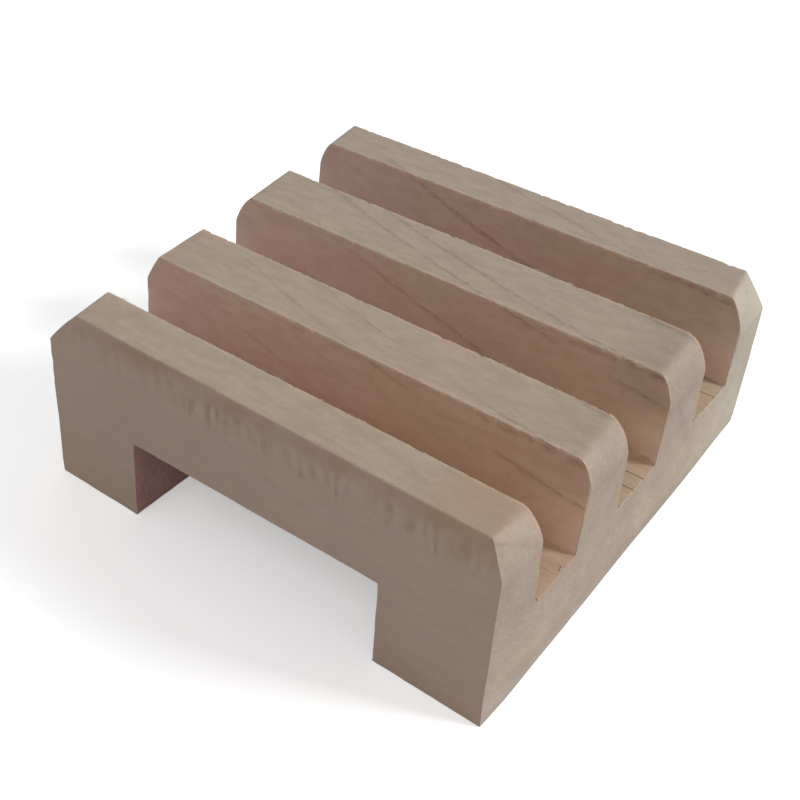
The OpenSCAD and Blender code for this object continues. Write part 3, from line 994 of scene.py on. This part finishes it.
def spindles(root, heading, length, thick):
    """Points of each spindle: its line is root + length * (t * heading + t * t * droop), and its radius
    is thick * (1 - t) ** 0.6 at the share t of its length."""
    droop = np.array([0, 0, -0.25])

    def line(t):
        t = np.asarray(t)[:, None]
        return root[:, None] + length[:, None, None] * (t * heading[:, None] + t * t * droop)

    across = np.cross(heading, (0, 0, 1))
    across /= np.linalg.norm(across, axis=1)[:, None]
    over = np.cross(heading, across)
    turn = (np.arange(SIDES) * 2 * math.pi / SIDES)[:, None]
    ring = np.cos(turn) * across[:, None] + np.sin(turn) * over[:, None]
    radius = thick[:, None] * (1 - HOOPS) ** 0.6
    hoops = line(HOOPS)[:, :, None] + radius[:, :, None, None] * ring[:, None]
    return np.concatenate([hoops.reshape(len(root), -1, 3), line([-0.06, 1])], 1)


# %% One mesh of spindles
corner = np.arange(SIDES)
after = (corner + 1) % SIDES
count = SIDES * len(HOOPS)  # ring points of a spindle; its two tips come after them
low = SIDES * np.arange(len(HOOPS) - 1)[:, None]
between = np.stack([low + corner, low + after, low + SIDES + after, low + SIDES + corner], -1).reshape(-1, 4)
top = low[-1] + SIDES
caps = np.concatenate([np.stack([after, corner, np.full(SIDES, count)], -1),
                       np.stack([top + corner, top + after, np.full(SIDES, count + 1)], -1)])
start = (count + 2) * np.arange(len(root))[:, None, None]
hairs = spindles(root, heading, reach_out, thick) - [LENGTH / 2, WIDTH / 2, 0]
faces = (between[None] + start).reshape(-1, 4).tolist() + (caps[None] + start).reshape(-1, 3).tolist()
fibre_mesh = bpy.data.meshes.new("edge_fibres")
fibre_mesh.from_pydata((hairs.reshape(-1, 3) * MM).tolist(), [], faces)
fibre_mesh.polygons.foreach_set("use_smooth", np.ones(len(faces), bool))
# the fibres' pale colour is painted light, for the light shining through them
fibre_mesh.materials.append(wood("standing_fibre", "cdb7a3", "b79f8b", line=0, flecks=0.1, streaky=0.6,
                                 end_pale="cdb7a3", end_dark="b79f8b"))
edge_fibres = stand("edge_fibres", fibre_mesh)
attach(edge_fibres, "root")
print("fibres have", len(faces), "faces")

# %% [markdown]
# ## Light
# A window to the right, a little behind the dish, gives the main light: the rib ends are brightest,
# the tops are next, and the groove walls that face the camera live on light from the wood around
# them. A wide soft lamp in front fills the front face, and a weak low one stands for a pale wall
# behind on the left.

# %% Lamps
def lamp(name, turn, rise, distance, size, level):
    """A square lamp, as strong as it needs to be to show a white sheet that faces it at the given level:
    its power is the level times pi squared times distance squared."""
    data = bpy.data.lights.new(name, "AREA")
    data.size = size
    data.energy = level * (math.pi * distance) ** 2
    side, over, back = facing(turn, rise)
    stand(name, data, side, over, back, back * distance)


lamp("window", 25, 33, 1.6, 0.40, 0.66)
lamp("room", -80, 42, 1.5, 1.2, 0.33)
lamp("far_wall", 140, 6, 1.6, 1.2, 0.26)

# %% [markdown]
# ## Floor and background
# The floor is pale. To the camera it is nearly white, and it keeps the dish's shadow; further out,
# where the lamps no longer reach it, it glows a little more instead. From below the floor is clear,
# and the light that comes to the soles passes through it, so that they can be seen too.

# %% Floor
WHITE = (1, 1, 1)
FLOOR_HALF, FLOOR_GAP = 4, 0.00002  # metres; the gap keeps the floor and the soles apart
LIT, SEEN = (0.42, 0.41, 0.40), (0.95, 0.95, 0.95)  # the floor's colour for the wood, and for the camera
GLOW = (0.25, 1.2, 0.30, 0.80)  # from and to this distance, strength at each
floor_mesh = bpy.data.meshes.new("floor")
corners = [(x * FLOOR_HALF, y * FLOOR_HALF, -FLOOR_GAP) for x, y in ((-1, -1), (1, -1), (1, 1), (-1, 1))]
floor_mesh.from_pydata(corners, [], [(0, 1, 2, 3)])
floor = stand("floor", floor_mesh)
paint = bpy.data.materials.new("floor_paint")
paint.use_nodes = True
floor_mesh.materials.append(paint)
w = Wires(paint.node_tree)
ray = w.node("LightPath").outputs
seen = ray["Is Camera Ray"]
matt = w.node("BsdfDiffuse", {"Color": w.mix(seen, LIT, SEEN)})
centred = w.node("TexCoord").outputs["Object"]
far_out = w.node("VectorMath", {0: centred}, operation="LENGTH").outputs["Value"]
glow = w.node("Emission", {"Color": WHITE, "Strength": w.times(seen, w.ramp(far_out, *GLOW))})
both = w.node("AddShader", {0: matt.outputs[0], 1: glow.outputs[0]})
to_sole = w.math("LESS_THAN", ray["Ray Length"], 5 * FLOOR_GAP)
passes = w.math("MAXIMUM", w.node("NewGeometry").outputs["Backfacing"], to_sole)
clear = w.node("MixShader", {0: passes, 1: both.outputs[0], 2: w.node("BsdfTransparent").outputs[0]})
w.node("OutputMaterial", {0: clear.outputs[0]})
print("floor", 2 * FLOOR_HALF, "m wide")

# %% Background
ROOM_LEVEL = 0.42
world = bpy.data.worlds.new("room")
world.use_nodes = True
bpy.context.scene.world = world
w = Wires(world.node_tree)
strength = w.ramp(w.node("LightPath").outputs["Is Camera Ray"], 0, 1, ROOM_LEVEL, 1)
w.node("OutputWorld", {0: w.node("Background", {"Color": WHITE, "Strength": strength}).outputs[0]})
bpy.context.scene.view_settings.view_transform = "Standard"
